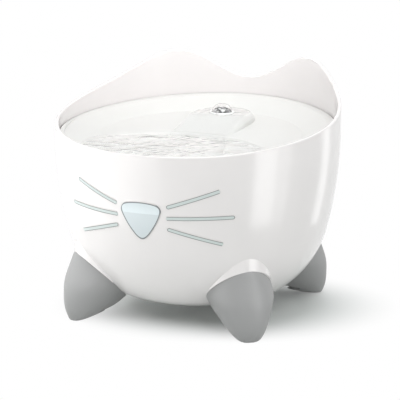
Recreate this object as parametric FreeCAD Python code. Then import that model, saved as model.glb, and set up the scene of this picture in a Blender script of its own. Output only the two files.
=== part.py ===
"""Pet water fountain with a face and two ears: a round reservoir on four ear-shaped feet, a lift-out
drinking dish with a spout and a ramp, a drop-in filter tray and a submersible pump.

Millimetres. +Z is up, the face looks along -Y, and the origin is on the floor under the reservoir's axis.
"""

import FreeCAD, Part
import math
import os

from FreeCAD import Vector

# Reservoir shell
RIM_RADIUS = 110.0
WALL = 2.8
BASE_HEIGHT = 15.2                      # underside of the flat bottom above the floor
BOWL_ARCS = [(37.9, 35.9), (76.2, 76.0), (311.8, 90.0)]   # arc radius, heading at the arc's end in degrees
CROWN_HEIGHT = 186.8                    # tip of the ears
RIM_HEIGHTS = [(0, 165.5), (10, 170.5), (20, 180.6), (31.5, 186.8), (41, 183.2), (50, 175.8), (65, 164.8),
               (85, 156.2), (110, 149.6), (145, 143.4), (180, 141.9)]   # degrees from the back, height
RIM_ROUND = 1.1
SEAM_TURN = 200.0                       # the turned surfaces start here, clear of every feature
LEDGE_TOP = 128.0
LEDGE_INNER = 102.5
LEDGE_LIP = 1.5

# Feet: a horn of level rings (height, centre radius, half length, half width, how far the ring swells outwards),
# cut by a slanted joint
HORN = [(0.0, 100.3, 6.2, 5.6, 0.5), (2.0, 96.2, 11.4, 9.0, 0.5), (6.0, 91.8, 17.2, 12.2, 0.45),
        (12.0, 87.2, 22.8, 15.9, 0.35), (20.0, 83.2, 26.8, 20.6, 0.2), (29.0, 81.0, 28.0, 24.7, 0.08),
        (38.0, 81.0, 25.2, 24.5, 0.0), (47.0, 84.0, 19.0, 18.8, 0.0), (54.0, 88.4, 11.6, 10.4, 0.0),
        (58.0, 91.6, 4.4, 3.6, 0.0)]
HORN_POINTS = 12
HOOD_CENTRE, HOOD_START = 77.0, 80.0
HOOD_RINGS = [(25.0, 25.8, 27.2), (70.0, 22.2, 23.6)]   # height, half size outwards, half size sideways
JOINT_TOP = (100.3, 52.4)               # radius and height of the slanted joint's outer end
JOINT_SLOPE = 43.6
FOOT_WALL = 2.6
SOLE, SOLE_DROP = 6.0, 1.5              # the hollow starts at this height of the horn, moved down by the drop
FOOT_ANGLES = {"foot_front_right": -45, "foot_rear_right": 45, "foot_rear_left": 135, "foot_front_left": -135}
SCREW_RADIUS_AT = 86.0                  # where each foot's screw stands, from the reservoir's axis
BOSS_END, BOSS_TOP = 14.0, 42.0          # heights of the bowl's stud for that screw
BOSS_RADIUS = 4.6
TUBE_RADIUS = 5.9
SCREW_SEAT = 9.6
SCREW_SHANK, SCREW_TOP = 1.5, 25.0
SCREW_HEAD, HEAD_HEIGHT = 3.1, 2.2
CROSS_SLOT = (3.6, 0.8, 1.0)            # length, width and depth of the cross in a screw's head

# Face
NOSE_CORNERS = [(0.0, 83.8, 5.4), (-9.7, 100.3, 6.0), (9.7, 100.3, 6.0)]   # x, z, radius, seen from the front
NOSE_BOW = 60.0                         # radius of the nose's bowed sides
NOSE_PROUD = 0.9
WHISKERS = {"upper": ((10.4, 104.2), (31.2, 117.0)), "middle": ((10.4, 95.8), (37.6, 96.7)),
            "lower": ((10.5, 87.7), (33.1, 75.8))}     # inner and outer end: degrees from the front, height
WHISKER_WIDTH = 3.6
WHISKER_PROUD = 0.35
WINDOW_GAP = 0.06
GASKET = 0.8
LENS_FLANGE = 1.6
FLANGE_REACH = 2.2
POCKET_FACE = -88.0                     # rear face of the lamp pocket's wall
POCKET_REACH, POCKET_WALL = 7.0, 2.0
POCKET_SCREWS = [(-19.4, 110.0), (19.4, 110.0), (0.0, 68.4)]   # x and height of the lamp cover's screws
LUG_RADIUS, LUG_BORE, LUG_START = 2.6, 1.05, -104.0
COVER_THICK, SEAL_THICK = 1.8, 0.8
COVER_SCREW, COVER_HEAD = 1.0, 2.1
BOARD_BACK, BOARD_FRONT = -93.4, -95.0
LAMP_RADIUS, LAMP_END, LAMP_HEIGHT = 2.5, -98.0, 95.0

# Drinking dish
DISH_RADIUS = 106.4
DISH_WALL = 2.4
BOWL_RADIUS = 103.2                     # inside of the dish at its rim
UNDER_RADIUS = 102.4
FLOOR_RADIUS = 80.0
SEAM_HEIGHT, SEAM_TILT = 142.4, 4.85    # rim plane over the axis
FLOOR_HEIGHT, FLOOR_TILT = 136.8, 2.5
RIM_SLOPE, RIM_BOW = 6.0, 3.0           # rim height over SEAM_HEIGHT: slope * (y / R) + bow * (y / R)^2
POOL_RINGS = [(124.5, -52.0, 58.0, 39.0), (126.0, -52.0, 61.5, 42.0), (130.0, -51.5, 66.0, 46.5),
              (135.0, -50.5, 70.5, 51.0), (141.0, -50.0, 74.0, 54.0)]   # height, centre y, half sizes in x and y
POOL_FLOOR = 124.5
SPOUT_Y = 49.0
SPOUT_TOP = 145.0
RAMP_BREAK, RAMP_SLOPE = 38.0, 0.24     # the ramp falls from y = RAMP_BREAK towards the pool
RAMP_HALF_WIDTH = 26.0
RAMP_BEND, RAMP_EDGE = 30.0, 4.5
SPOUT_BORE = 7.6
COLLAR_RADIUS, COLLAR_BORE, COLLAR_END = 10.2, 7.6, 122.5
DRAIN_SLOTS, DRAIN_PITCH = 7, 9.5
DRAIN_WIDTH, DRAIN_LENGTH = 3.6, 16.0

# Filter tray
TRAY_CENTRE = -56.0
TRAY_LENGTH, TRAY_WIDTH, TRAY_CORNER = 80.0, 40.0, 12.0
TRAY_TOP, TRAY_BOTTOM = 119.6, 99.0
TRAY_WALL, LID_THICK = 1.8, 2.0
SKIRT_GAP, SKIRT_WALL, SKIRT_END = 0.5, 2.0, 113.0

# Pump
PUMP_FLOOR = 22.0
PUMP_WIDTH, PUMP_HEIGHT = 42.0, 38.0
MOTOR_START, MOTOR_END = 4.0, 38.0
CHAMBER_END = 51.0
GRILLE_END = 60.0
AXIS_HEIGHT = 40.0
CHAMBER_RADIUS = 15.5
WELL_RADIUS = 9.2
MAGNET_RADIUS = 8.4
SHAFT_RADIUS, SHAFT_GAP = 1.25, 0.08
HUB_RADIUS = 3.5
DISC_RADIUS, DISC_GAP, DISC_THICK = 12.6, 0.5, 1.4      # the impeller's disc, clear of the motor housing
BLADES, BLADE_WIDTH, BLADE_END = 6, 1.4, 6.5
SEAL_GROOVE = (15.7, 17.1, 1.3)         # inner and outer radius and depth of the groove in the motor housing
FRONT_BUSH, REAR_BUSH = 2.25, 2.65
CUP_SPOTS = [(-13.0, 12.0), (-13.0, 32.0), (13.0, 12.0), (13.0, 32.0)]
CUP_STEM, CUP_STEM_DEPTH = 2.2, 2.8
INTAKE_RADIUS = 6.0
OUTLET_Y = 44.5
OUTLET_RADIUS, OUTLET_BORE = 5.4, 4.0
SOCKET_RADIUS, SOCKET_BORE = 7.3, 5.45
RISER_RADIUS, RISER_BORE = 5.5, 4.2
RISER_BOTTOM, RISER_TOP = 61.0, 138.0
RISER_STEP = (80.0, 94.0)               # the slanted stretch between socket and riser

# Cable gland
GLAND_HEIGHT = 114.0
GLAND_HOLE, GLAND_FLANGE, GLAND_BORE = 5.0, 7.4, 2.1
GLAND_ENDS = (1.1, -6.1)                # how far the grommet reaches out from, and in from, the outside of the wall


def vec(x, y, z=0.0):
    return Vector(x, y, z)


def solid_of(edges, move):
    """Extrude a closed outline of edges along a vector."""
    return Part.Face(Part.Wire(edges)).extrude(move)


def polygon(points):
    return Part.makePolygon(points + [points[0]])


def cylinder(radius, z0, z1, x=0.0, y=0.0):
    return Part.makeCylinder(radius, z1 - z0, vec(x, y, z0))


def lying_cylinder(radius, y0, y1, x=0.0, z=0.0):
    return Part.makeCylinder(radius, y1 - y0, vec(x, y0, z), vec(0, 1, 0))


def box(x0, x1, y0, y1, z0, z1):
    return Part.makeBox(x1 - x0, y1 - y0, z1 - z0, vec(x0, y0, z0))


def rounded_box(length, width, corner, z0, z1, y=0.0):
    """A box with upright rounded corners, centred on x = 0."""
    block = box(-length / 2, length / 2, y - width / 2, y + width / 2, z0, z1)
    upright = [e for e in block.Edges if abs(e.Vertexes[0].Z - e.Vertexes[1].Z) > 0.5 * (z1 - z0)]
    return block.makeFillet(corner, upright)


def around(shape, angle):
    turned = shape.copy()
    turned.rotate(vec(0, 0), vec(0, 0, 1), angle)
    return turned


def filleted(shape, radius, picks):
    """Fillet the edges that the test picks; the edges must exist."""
    edges = [e for e in shape.Edges if picks(e)]
    if not edges:
        raise ValueError("no edge to fillet")
    return shape.makeFillet(radius, edges)


# Reservoir shell


def bowl_outline(offset, top):
    """Edges of the half outline of the bowl in the XZ plane, moved inwards by offset, up to a height."""
    flat = RIM_RADIUS
    heading = 0.0
    for radius, end in BOWL_ARCS:
        flat -= radius * (math.sin(math.radians(end)) - math.sin(math.radians(heading)))
        heading = end
    r, z, heading = flat, BASE_HEIGHT + offset, 0.0
    edges = [Part.makeLine(vec(0, 0, z), vec(r, 0, z))]
    for radius, end in BOWL_ARCS:
        own = radius - offset
        a, b = math.radians(heading), math.radians(end)
        points = [vec(r + own * (math.sin(t) - math.sin(a)), 0, z + own * (math.cos(a) - math.cos(t)))
                  for t in (a, (a + b) / 2, b)]
        edges.append(Part.Arc(*points).toShape())
        r, z, heading = points[2].x, points[2].z, end
    edges.append(Part.makeLine(vec(r, 0, z), vec(r, 0, top)))
    edges.append(Part.makeLine(vec(r, 0, top), vec(0, 0, top)))
    edges.append(Part.makeLine(vec(0, 0, top), vec(0, 0, BASE_HEIGHT + offset)))
    return edges


def bowl_solid(offset, top=CROWN_HEIGHT + 5):
    face = Part.Face(Part.Wire(bowl_outline(offset, top)))
    return around(face.revolve(vec(0, 0), vec(0, 0, 1), 360), SEAM_TURN)


def bowl_band(outer, inner, top=LEDGE_TOP - 4):
    """A skin of the bowl between two offsets from its outside."""
    return bowl_solid(outer, top).cut(bowl_solid(inner, top + 1))


def crown_cutter():
    """The space above the rim, which sweeps from the low front up to the two ears and their valley."""
    turn = RIM_HEIGHTS + [(360 - angle, z) for angle, z in reversed(RIM_HEIGHTS[1:-1])]
    rings = []
    for radius in (RIM_RADIUS - 15, RIM_RADIUS + 15):
        points = [vec(radius * math.sin(math.radians(a)), radius * math.cos(math.radians(a)), z) for a, z in turn]
        curve = Part.BSplineCurve()
        curve.interpolate(points, PeriodicFlag=True)
        rings.append(curve.toShape())
    return Part.makeRuledSurface(*rings).extrude(vec(0, 0, 60))


def horn(growth=0.0, floor=0.0):
    """The ear-shaped lump of a foot, standing along +X, grown by a margin; its rings are egg-shaped low down."""
    wires = []
    for height, centre, half_length, half_width, swell in HORN:
        if height < floor:
            continue
        points = []
        for k in range(HORN_POINTS):
            turn = 2 * math.pi * k / HORN_POINTS
            across = (half_width + growth) * math.sin(turn) * (1 + swell * math.cos(turn))
            points.append(vec(centre + (half_length + growth) * math.cos(turn), across, height))
        ring = Part.BSplineCurve()
        ring.interpolate(points, PeriodicFlag=True)
        wires.append(Part.Wire(ring.toShape()))
    return Part.makeLoft(wires, True, False)


def above_joint():
    """The space above the slanted joint between a hood and its foot, along +X."""
    slope = math.tan(math.radians(JOINT_SLOPE))
    reach = 45.0
    r, z = JOINT_TOP
    inner, outer = 78.0, 30.0
    outline = polygon([vec(r - inner, -reach, z - inner * slope), vec(r + outer, -reach, z + outer * slope),
                       vec(r - inner, -reach, z + outer * slope)])
    return Part.Face(outline).extrude(vec(0, 2 * reach))


def nose_outline(growth=0.0):
    """The rounded triangle of the nose in the XZ plane, point down: three corner arcs and three bowed sides."""
    corners = [(vec(x, 0, z), r + growth) for x, z, r in NOSE_CORNERS]
    bow = NOSE_BOW + growth
    centres = []
    for (a, ra), (b, rb) in zip(corners, corners[1:] + corners[:1]):
        span = a.distanceToPoint(b)
        reach_a, reach_b = bow - ra, bow - rb
        along = (span * span + reach_a * reach_a - reach_b * reach_b) / (2 * span)
        across = math.sqrt(reach_a * reach_a - along * along)
        ahead = (b - a).normalize()
        centres.append(a + ahead * along + vec(ahead.z, 0, -ahead.x) * across)
    edges = []
    for k, (corner, radius) in enumerate(corners):
        here, there = centres[k - 1], centres[k]
        start = corner + (corner - here).normalize() * radius
        end = corner + (corner - there).normalize() * radius
        middle = corner + ((start + end) * 0.5 - corner).normalize() * radius
        edges.append(Part.Arc(start, middle, end).toShape())
        following, next_radius = corners[(k + 1) % 3]
        side_end = following + (following - there).normalize() * next_radius
        side_middle = there + ((end + side_end) * 0.5 - there).normalize() * bow
        edges.append(Part.Arc(end, side_middle, side_end).toShape())
    return Part.Wire(edges)


def nose_prism(growth=0.0, y0=-130.0, y1=-60.0):
    face = Part.Face(nose_outline(growth))
    face.translate(vec(0, y0))
    return face.extrude(vec(0, y1 - y0))


def bowl_radius(height):
    """Outside radius of the bowl at a height, on its long upper arc."""
    radius = BOWL_ARCS[-1][0]
    start = math.radians(BOWL_ARCS[-2][1])
    z = BASE_HEIGHT
    heading = 0.0
    for r, end in BOWL_ARCS:
        z += r * (math.cos(math.radians(heading)) - math.cos(math.radians(end)))
        heading = end
    lift = max(z - height, 0.0)
    assert lift <= radius * math.cos(start), "the height is below the upper arc"
    return RIM_RADIUS - radius + math.sqrt(radius * radius - lift * lift)


def whisker_prism(ends, side, growth=0.0):
    """A bar with round ends that runs through the wall, square to it at its middle."""
    (a0, z0), (a1, z1) = ends
    spots = []
    for angle, z in ((a0, z0), (a1, z1)):
        r, t = bowl_radius(z), math.radians(angle) * side
        spots.append(vec(r * math.sin(t), -r * math.cos(t), z))
    middle = math.radians((a0 + a1) / 2) * side
    inwards = vec(-math.sin(middle), math.cos(middle), 0)
    flat = [p - inwards * p.dot(inwards) for p in spots]
    along = (flat[1] - flat[0]).normalize()
    across = inwards.cross(along)
    half = WHISKER_WIDTH / 2 + growth
    start, end = (p - inwards * (RIM_RADIUS + 20) for p in flat)
    start, end = start + along * (WHISKER_WIDTH / 2), end - along * (WHISKER_WIDTH / 2)
    edges = [Part.makeLine(start + across * half, end + across * half),
             Part.Arc(end + across * half, end + along * half, end - across * half).toShape(),
             Part.makeLine(end - across * half, start - across * half),
             Part.Arc(start - across * half, start - along * half, start + across * half).toShape()]
    return solid_of(edges, inwards * 70)


def foot_hood():
    """The brow over a foot, along +X: it carries the foot's outline upright until the bowl swallows it."""
    rings = []
    for height, half_length, half_width in HOOD_RINGS:
        rings.append(Part.Wire(Part.Ellipse(vec(HOOD_CENTRE, 0, height), half_width, half_length).toShape()))
        rings[-1].rotate(vec(HOOD_CENTRE, 0, height), vec(0, 0, 1), 90)
    brow = Part.makeLoft(rings, True, True).common(above_joint())
    return brow.common(box(HOOD_START, RIM_RADIUS + 20, -60, 60, 0, 90))


def rounded_rim(wall):
    """Round both edges of the rim."""
    def on_rim(edge):
        spot = edge.valueAt((edge.FirstParameter + edge.LastParameter) / 2)
        return spot.z > LEDGE_TOP + 8 and isinstance(edge.Curve, Part.BSplineCurve) and edge.Length > 50
    return filleted(wall, RIM_ROUND, on_rim)


def ledge():
    """The ring inside the wall that the dish stands on, with a slope under it."""
    foot_of_slope = LEDGE_TOP - LEDGE_LIP - (RIM_RADIUS - WALL - LEDGE_INNER) * 1.1
    wall_side = RIM_RADIUS - WALL / 2 - 0.2
    face = Part.Face(polygon([vec(wall_side, 0, LEDGE_TOP), vec(LEDGE_INNER, 0, LEDGE_TOP),
                              vec(LEDGE_INNER, 0, LEDGE_TOP - LEDGE_LIP), vec(wall_side, 0, foot_of_slope)]))
    return face.revolve(vec(0, 0), vec(0, 0, 1), 360)


def pump_cradle():
    """The low ring on the floor that holds the pump's place."""
    low = BASE_HEIGHT + WALL / 2
    ring = rounded_box(PUMP_WIDTH + 10, 50, 7, low, BASE_HEIGHT + WALL + 1.6, 21)
    ring = ring.cut(rounded_box(PUMP_WIDTH + 6, 46, 5.5, low - 1, BASE_HEIGHT + WALL + 5, 21))
    return ring.common(bowl_solid(WALL / 2, 60))


def reservoir_shell():
    """The bowl with its brows and studs, hollowed and cut to the rim, then everything inside it."""
    outside = bowl_solid(0)
    stud = cylinder(BOSS_RADIUS, BOSS_END, BOSS_TOP, SCREW_RADIUS_AT)
    for angle in FOOT_ANGLES.values():
        outside = outside.fuse(around(foot_hood(), angle)).fuse(around(stud, angle))
    shell = rounded_rim(outside.cut(bowl_solid(WALL)).cut(crown_cutter()))
    shell = shell.fuse(ledge()).fuse(pump_cradle())
    inside = bowl_solid(WALL / 2, LEDGE_TOP)
    pocket = nose_prism(POCKET_REACH, -RIM_RADIUS, POCKET_FACE)
    pocket = pocket.cut(nose_prism(POCKET_REACH - POCKET_WALL, -RIM_RADIUS - 2, POCKET_FACE + 1))
    for x, z in POCKET_SCREWS:
        pocket = pocket.fuse(lying_cylinder(LUG_RADIUS, LUG_START, POCKET_FACE, x, z))
    shell = shell.fuse(pocket.common(inside))
    skin = bowl_band(-2, WALL)
    cutters = [nose_prism(WINDOW_GAP, -130, -98), lying_cylinder(GLAND_HOLE, 95, 120, 0, GLAND_HEIGHT)]
    for ends in WHISKERS.values():
        cutters += [whisker_prism(ends, side, WINDOW_GAP).common(skin) for side in (-1, 1)]
    for x, z in POCKET_SCREWS:
        cutters.append(lying_cylinder(LUG_BORE, POCKET_FACE - 9, POCKET_FACE + 1, x, z))
    for angle in FOOT_ANGLES.values():
        cutters.append(around(cylinder(SCREW_SHANK + 0.05, BOSS_END - 1, SCREW_TOP + 2, SCREW_RADIUS_AT), angle))
    for cutter in cutters:
        shell = shell.cut(cutter)
    return shell


# Feet


def foot(angle):
    """One hollow foot, with the tube for its screw, cut to the bowl and the slanted joint."""
    body = horn().cut(above_joint())
    inner = horn(-FOOT_WALL, SOLE)
    inner.translate(vec(0, 0, -SOLE_DROP))
    tube = horn().common(cylinder(TUBE_RADIUS, 0, BOSS_END, SCREW_RADIUS_AT))
    body = body.cut(inner).fuse(tube)
    body = body.cut(cylinder(SCREW_HEAD + 0.6, -1, SCREW_SEAT, SCREW_RADIUS_AT))
    body = body.cut(cylinder(SCREW_SHANK + 0.2, -1, BOSS_END + 1, SCREW_RADIUS_AT))
    body = body.cut(cylinder(BOSS_RADIUS + 0.2, BOSS_END, BOSS_TOP + 3, SCREW_RADIUS_AT))
    return around(body.cut(bowl_solid(0)), angle)


def foot_screws():
    """The four screws that hold the feet, heads down."""
    bottom = SCREW_SEAT - HEAD_HEIGHT
    length, width, depth = CROSS_SLOT
    head = cylinder(SCREW_HEAD, bottom, SCREW_SEAT, SCREW_RADIUS_AT)
    for x, y in ((length / 2, width / 2), (width / 2, length / 2)):
        head = head.cut(box(SCREW_RADIUS_AT - x, SCREW_RADIUS_AT + x, -y, y, bottom - 1, bottom + depth))
    screw = head.fuse(cylinder(SCREW_SHANK, SCREW_SEAT, SCREW_TOP, SCREW_RADIUS_AT))
    return Part.makeCompound([around(screw, angle) for angle in FOOT_ANGLES.values()])


# Face


def nose_lens():
    window = nose_prism(0).common(bowl_band(-NOSE_PROUD, WALL + GASKET + LENS_FLANGE))
    flange = nose_prism(FLANGE_REACH).common(bowl_band(WALL + GASKET, WALL + GASKET + LENS_FLANGE))
    return front_part(window.fuse(flange))


def nose_gasket():
    ring = nose_prism(FLANGE_REACH).cut(nose_prism(0.1, -131, -59))
    return front_part(ring.common(bowl_band(WALL, WALL + GASKET)))


def front_part(shape):
    """The solids of a shape that lie on the face's side."""
    solids = [s for s in shape.Solids if s.CenterOfMass.y < 0]
    return solids[0] if len(solids) == 1 else Part.makeCompound(solids)


def whisker(level, side):
    bar = whisker_prism(WHISKERS[level], side)
    return front_part(bar.common(bowl_band(-WHISKER_PROUD, WALL)))


def cover_back():
    """Where the rear face of the lamp's cover lies along Y."""
    return POCKET_FACE + SEAL_THICK + COVER_THICK


def led_cover():
    """The plate that closes the lamp pocket, with an ear round each screw."""
    front, back = POCKET_FACE + SEAL_THICK, cover_back()
    plate = nose_prism(POCKET_REACH, front, back)
    for x, z in POCKET_SCREWS:
        plate = plate.fuse(lying_cylinder(COVER_HEAD + 1.3, front, back, x, z))
        plate = plate.cut(lying_cylinder(COVER_SCREW + 0.2, front - 1, back + 1, x, z))
    return plate.removeSplitter()


def led_cover_seal():
    """The ring between the pocket's wall and its cover, notched where the screws pass."""
    ring = nose_prism(POCKET_REACH, POCKET_FACE, POCKET_FACE + SEAL_THICK)
    ring = ring.cut(nose_prism(POCKET_REACH - POCKET_WALL, POCKET_FACE - 1, POCKET_FACE + 2))
    for x, z in POCKET_SCREWS:
        ring = ring.cut(lying_cylinder(COVER_SCREW + 0.2, POCKET_FACE - 1, POCKET_FACE + 2, x, z))
    return ring


def led_cover_screws():
    screws = []
    face = cover_back()
    for x, z in POCKET_SCREWS:
        head = lying_cylinder(COVER_HEAD, face, face + 1.4, x, z)
        head = head.cut(box(x - 1.4, x + 1.4, face + 0.7, face + 2, z - 0.3, z + 0.3))
        screws.append(head.fuse(lying_cylinder(COVER_SCREW, POCKET_FACE - 7, face, x, z)))
    return Part.makeCompound(screws)


def led_board():
    return nose_prism(1.4, BOARD_FRONT, BOARD_BACK)


def led_lamp():
    """A round-nosed lamp on the front of the board."""
    barrel = lying_cylinder(LAMP_RADIUS, LAMP_END, BOARD_FRONT, 0, LAMP_HEIGHT)
    return barrel.fuse(Part.makeSphere(LAMP_RADIUS, vec(0, LAMP_END, LAMP_HEIGHT)))


# Drinking dish


def rim_height(y, drop=0.0):
    share = y / RIM_RADIUS
    return SEAM_HEIGHT + RIM_SLOPE * share + RIM_BOW * share * share - drop


def above_rim():
    """The space above the dish's rim, which sweeps up towards the back."""
    reach = RIM_RADIUS + 8
    curve = Part.BSplineCurve()
    curve.interpolate([vec(-reach, y, rim_height(y)) for y in (-reach, 0, reach)])
    low, high = curve.value(0), curve.value(1)
    corners = [high, vec(-reach, reach, 200), vec(-reach, -reach, 200), low]
    return solid_of([curve.toShape()] + [Part.makeLine(a, b) for a, b in zip(corners, corners[1:])],
                    vec(2 * reach, 0))


def tilted_disc(radius, height, tilt):
    circle = Part.Wire(Part.makeCircle(radius, vec(0, 0, height), vec(0, 0, 1)))
    circle.rotate(vec(0, 0, height), vec(1, 0, 0), tilt)
    return circle


def dish_hollow(drop=0.0):
    """The hollow over the dish's floor and sloping wall, or with a drop its copy that shapes the underside."""
    low = tilted_disc(FLOOR_RADIUS, FLOOR_HEIGHT, FLOOR_TILT)
    high = tilted_disc(BOWL_RADIUS, SEAM_HEIGHT, SEAM_TILT)
    hollow = Part.makeLoft([low, high], True, True).fuse(Part.Face(high).extrude(vec(0, 0, 40)))
    hollow.translate(vec(0, 0, -drop))
    return hollow


def pool(grow=0.0):
    """The drinking pool, a stack of level ellipses, or with a growth the body round it."""
    rings = []
    for height, centre, half_length, half_depth in POOL_RINGS:
        ellipse = Part.Ellipse(vec(0, centre, height - grow), half_length + grow, half_depth + grow)
        rings.append(Part.Wire(ellipse.toShape()))
    return Part.makeLoft(rings, True, False)


def ramp(inset=0.0):
    """The tongue that carries water from the spout down into the pool, or with an inset the hollow under it."""
    toe_y = RAMP_BREAK - (SPOUT_TOP - POOL_FLOOR) / RAMP_SLOPE
    toe_z = POOL_FLOOR - inset - inset * RAMP_SLOPE
    toe_y -= inset
    bottom = POOL_FLOOR - DISH_WALL - inset
    back_y = SPOUT_Y + RAMP_HALF_WIDTH + 2
    reach = RAMP_HALF_WIDTH + 4
    side = polygon([vec(-reach, toe_y, bottom), vec(-reach, toe_y, toe_z),
                    vec(-reach, RAMP_BREAK, SPOUT_TOP - inset), vec(-reach, back_y, SPOUT_TOP - inset),
                    vec(-reach, back_y, bottom)])
    wedge = Part.Face(side).extrude(vec(2 * reach, 0))
    wedge = filleted(wedge, RAMP_BEND, lambda e: abs(e.CenterOfMass.y - RAMP_BREAK) < 0.1
                     and e.CenterOfMass.z > SPOUT_TOP - inset - 0.1)
    w = RAMP_HALF_WIDTH - inset
    plan = [Part.makeLine(vec(-w, SPOUT_Y, 0), vec(-w, toe_y - 3, 0)),
            Part.makeLine(vec(-w, toe_y - 3, 0), vec(w, toe_y - 3, 0)),
            Part.makeLine(vec(w, toe_y - 3, 0), vec(w, SPOUT_Y, 0)),
            Part.Arc(vec(w, SPOUT_Y, 0), vec(0, SPOUT_Y + w, 0), vec(-w, SPOUT_Y, 0)).toShape()]
    tongue = wedge.common(solid_of(plan, vec(0, 0, 200)))
    if inset:
        return tongue
    return filleted(tongue, RAMP_EDGE, lambda e: e.BoundBox.ZMin > POOL_FLOOR - 0.1 and e.Length > 20
                    and e.BoundBox.YLength > 20)


def drain_slots():
    slots = []
    for k in range(DRAIN_SLOTS):
        x = (k - (DRAIN_SLOTS - 1) / 2) * DRAIN_PITCH
        half = DRAIN_LENGTH / 2 - DRAIN_WIDTH / 2
        bar = box(x - DRAIN_WIDTH / 2, x + DRAIN_WIDTH / 2, -half, half, 115, POOL_FLOOR + 2)
        for end in (-half, half):
            bar = bar.fuse(cylinder(DRAIN_WIDTH / 2, 115, POOL_FLOOR + 2, x, end))
        bar.translate(vec(0, TRAY_CENTRE - 6, 0))
        slots.append(bar)
    return slots


def drinking_dish():
    """The lift-out dish: outer ring, hollow underside, pool, ramp, the tray's skirt and the spout's collar."""
    body = cylinder(DISH_RADIUS, LEDGE_TOP, 160)
    under = cylinder(UNDER_RADIUS, LEDGE_TOP - 1, 160).cut(dish_hollow(DISH_WALL))
    body = body.cut(under).fuse(pool(DISH_WALL)).cut(above_rim()).cut(dish_hollow()).cut(pool())
    body = body.fuse(ramp()).cut(ramp(DISH_WALL))
    grow = SKIRT_GAP + SKIRT_WALL
    skirt = rounded_box(TRAY_LENGTH + 2 * grow, TRAY_WIDTH + 2 * grow, TRAY_CORNER + grow, SKIRT_END,
                        POOL_FLOOR - 1, TRAY_CENTRE)
    grow = SKIRT_GAP
    hollow = rounded_box(TRAY_LENGTH + 2 * grow, TRAY_WIDTH + 2 * grow, TRAY_CORNER + grow, SKIRT_END - 1,
                         POOL_FLOOR, TRAY_CENTRE)
    body = body.fuse(skirt.cut(hollow)).fuse(cylinder(COLLAR_RADIUS, COLLAR_END, SPOUT_TOP - 1, 0, SPOUT_Y))
    body = body.cut(cylinder(COLLAR_BORE, COLLAR_END - 1, SPOUT_TOP + 5, 0, SPOUT_Y))
    for slot in drain_slots():
        body = body.cut(slot)
    return body


def spout_nozzle():
    """The clear ring that lines the spout's hole and seats on the ramp."""
    tube = cylinder(COLLAR_BORE - 0.1, COLLAR_END + 1, SPOUT_TOP + 1.6, 0, SPOUT_Y)
    lip = cylinder(COLLAR_BORE + 0.9, SPOUT_TOP, SPOUT_TOP + 1.6, 0, SPOUT_Y)
    ring = tube.fuse(lip).removeSplitter()
    ring = filleted(ring, 0.7, lambda e: e.BoundBox.ZMin > SPOUT_TOP + 1.5)
    return ring.cut(cylinder(RISER_RADIUS + 0.35, COLLAR_END, SPOUT_TOP + 3, 0, SPOUT_Y))


# Filter


def tray_slots(width, length, z0, z1):
    """A row of slots across the tray, as wide and as long as asked."""
    cuts = []
    for k in range(DRAIN_SLOTS):
        x = (k - (DRAIN_SLOTS - 1) / 2) * DRAIN_PITCH
        cuts.append(box(x - width / 2, x + width / 2, TRAY_CENTRE - length / 2, TRAY_CENTRE + length / 2, z0, z1))
    return cuts


def filter_tray():
    tray = rounded_box(TRAY_LENGTH, TRAY_WIDTH, TRAY_CORNER, TRAY_BOTTOM, TRAY_TOP - LID_THICK, TRAY_CENTRE)
    tray = tray.cut(rounded_box(TRAY_LENGTH - 2 * TRAY_WALL, TRAY_WIDTH - 2 * TRAY_WALL, TRAY_CORNER - TRAY_WALL,
                                TRAY_BOTTOM + TRAY_WALL, TRAY_TOP, TRAY_CENTRE))
    for slot in tray_slots(4.0, 26.0, TRAY_BOTTOM - 1, TRAY_BOTTOM + TRAY_WALL + 1):
        tray = tray.cut(slot)
    return tray


def filter_lid():
    lid = rounded_box(TRAY_LENGTH, TRAY_WIDTH, TRAY_CORNER, TRAY_TOP - LID_THICK, TRAY_TOP, TRAY_CENTRE)
    lid = lid.fuse(rounded_box(TRAY_LENGTH - 2 * TRAY_WALL - 0.2, TRAY_WIDTH - 2 * TRAY_WALL - 0.2,
                               TRAY_CORNER - TRAY_WALL, TRAY_TOP - 2 * LID_THICK, TRAY_TOP - 1, TRAY_CENTRE))
    for slot in tray_slots(5.5, 27.0, TRAY_TOP - 5, TRAY_TOP + 1):
        lid = lid.cut(slot)
    return lid.removeSplitter()


def filter_pad(z0, z1):
    gap = 0.3
    inner = TRAY_WALL + gap
    return rounded_box(TRAY_LENGTH - 2 * inner, TRAY_WIDTH - 2 * inner, TRAY_CORNER - inner, z0, z1, TRAY_CENTRE)


# Pump


def pump_block(y0, y1, shrink=0.0):
    block = box(-PUMP_WIDTH / 2 + shrink, PUMP_WIDTH / 2 - shrink, y0, y1, PUMP_FLOOR + shrink,
                PUMP_FLOOR + PUMP_HEIGHT - shrink)
    return filleted(block, 6.0 - shrink, lambda e: e.BoundBox.YLength > 0.9 * (y1 - y0))


def seal_ring(gap):
    """The ring that the chamber's seal fills in the motor housing, smaller all round by a gap."""
    inner, outer, depth = SEAL_GROOVE
    ring = lying_cylinder(outer - gap, MOTOR_END - depth + gap, MOTOR_END, 0, AXIS_HEIGHT)
    return ring.cut(lying_cylinder(inner + gap, MOTOR_END - depth - 1, MOTOR_END + 1, 0, AXIS_HEIGHT))


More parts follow.
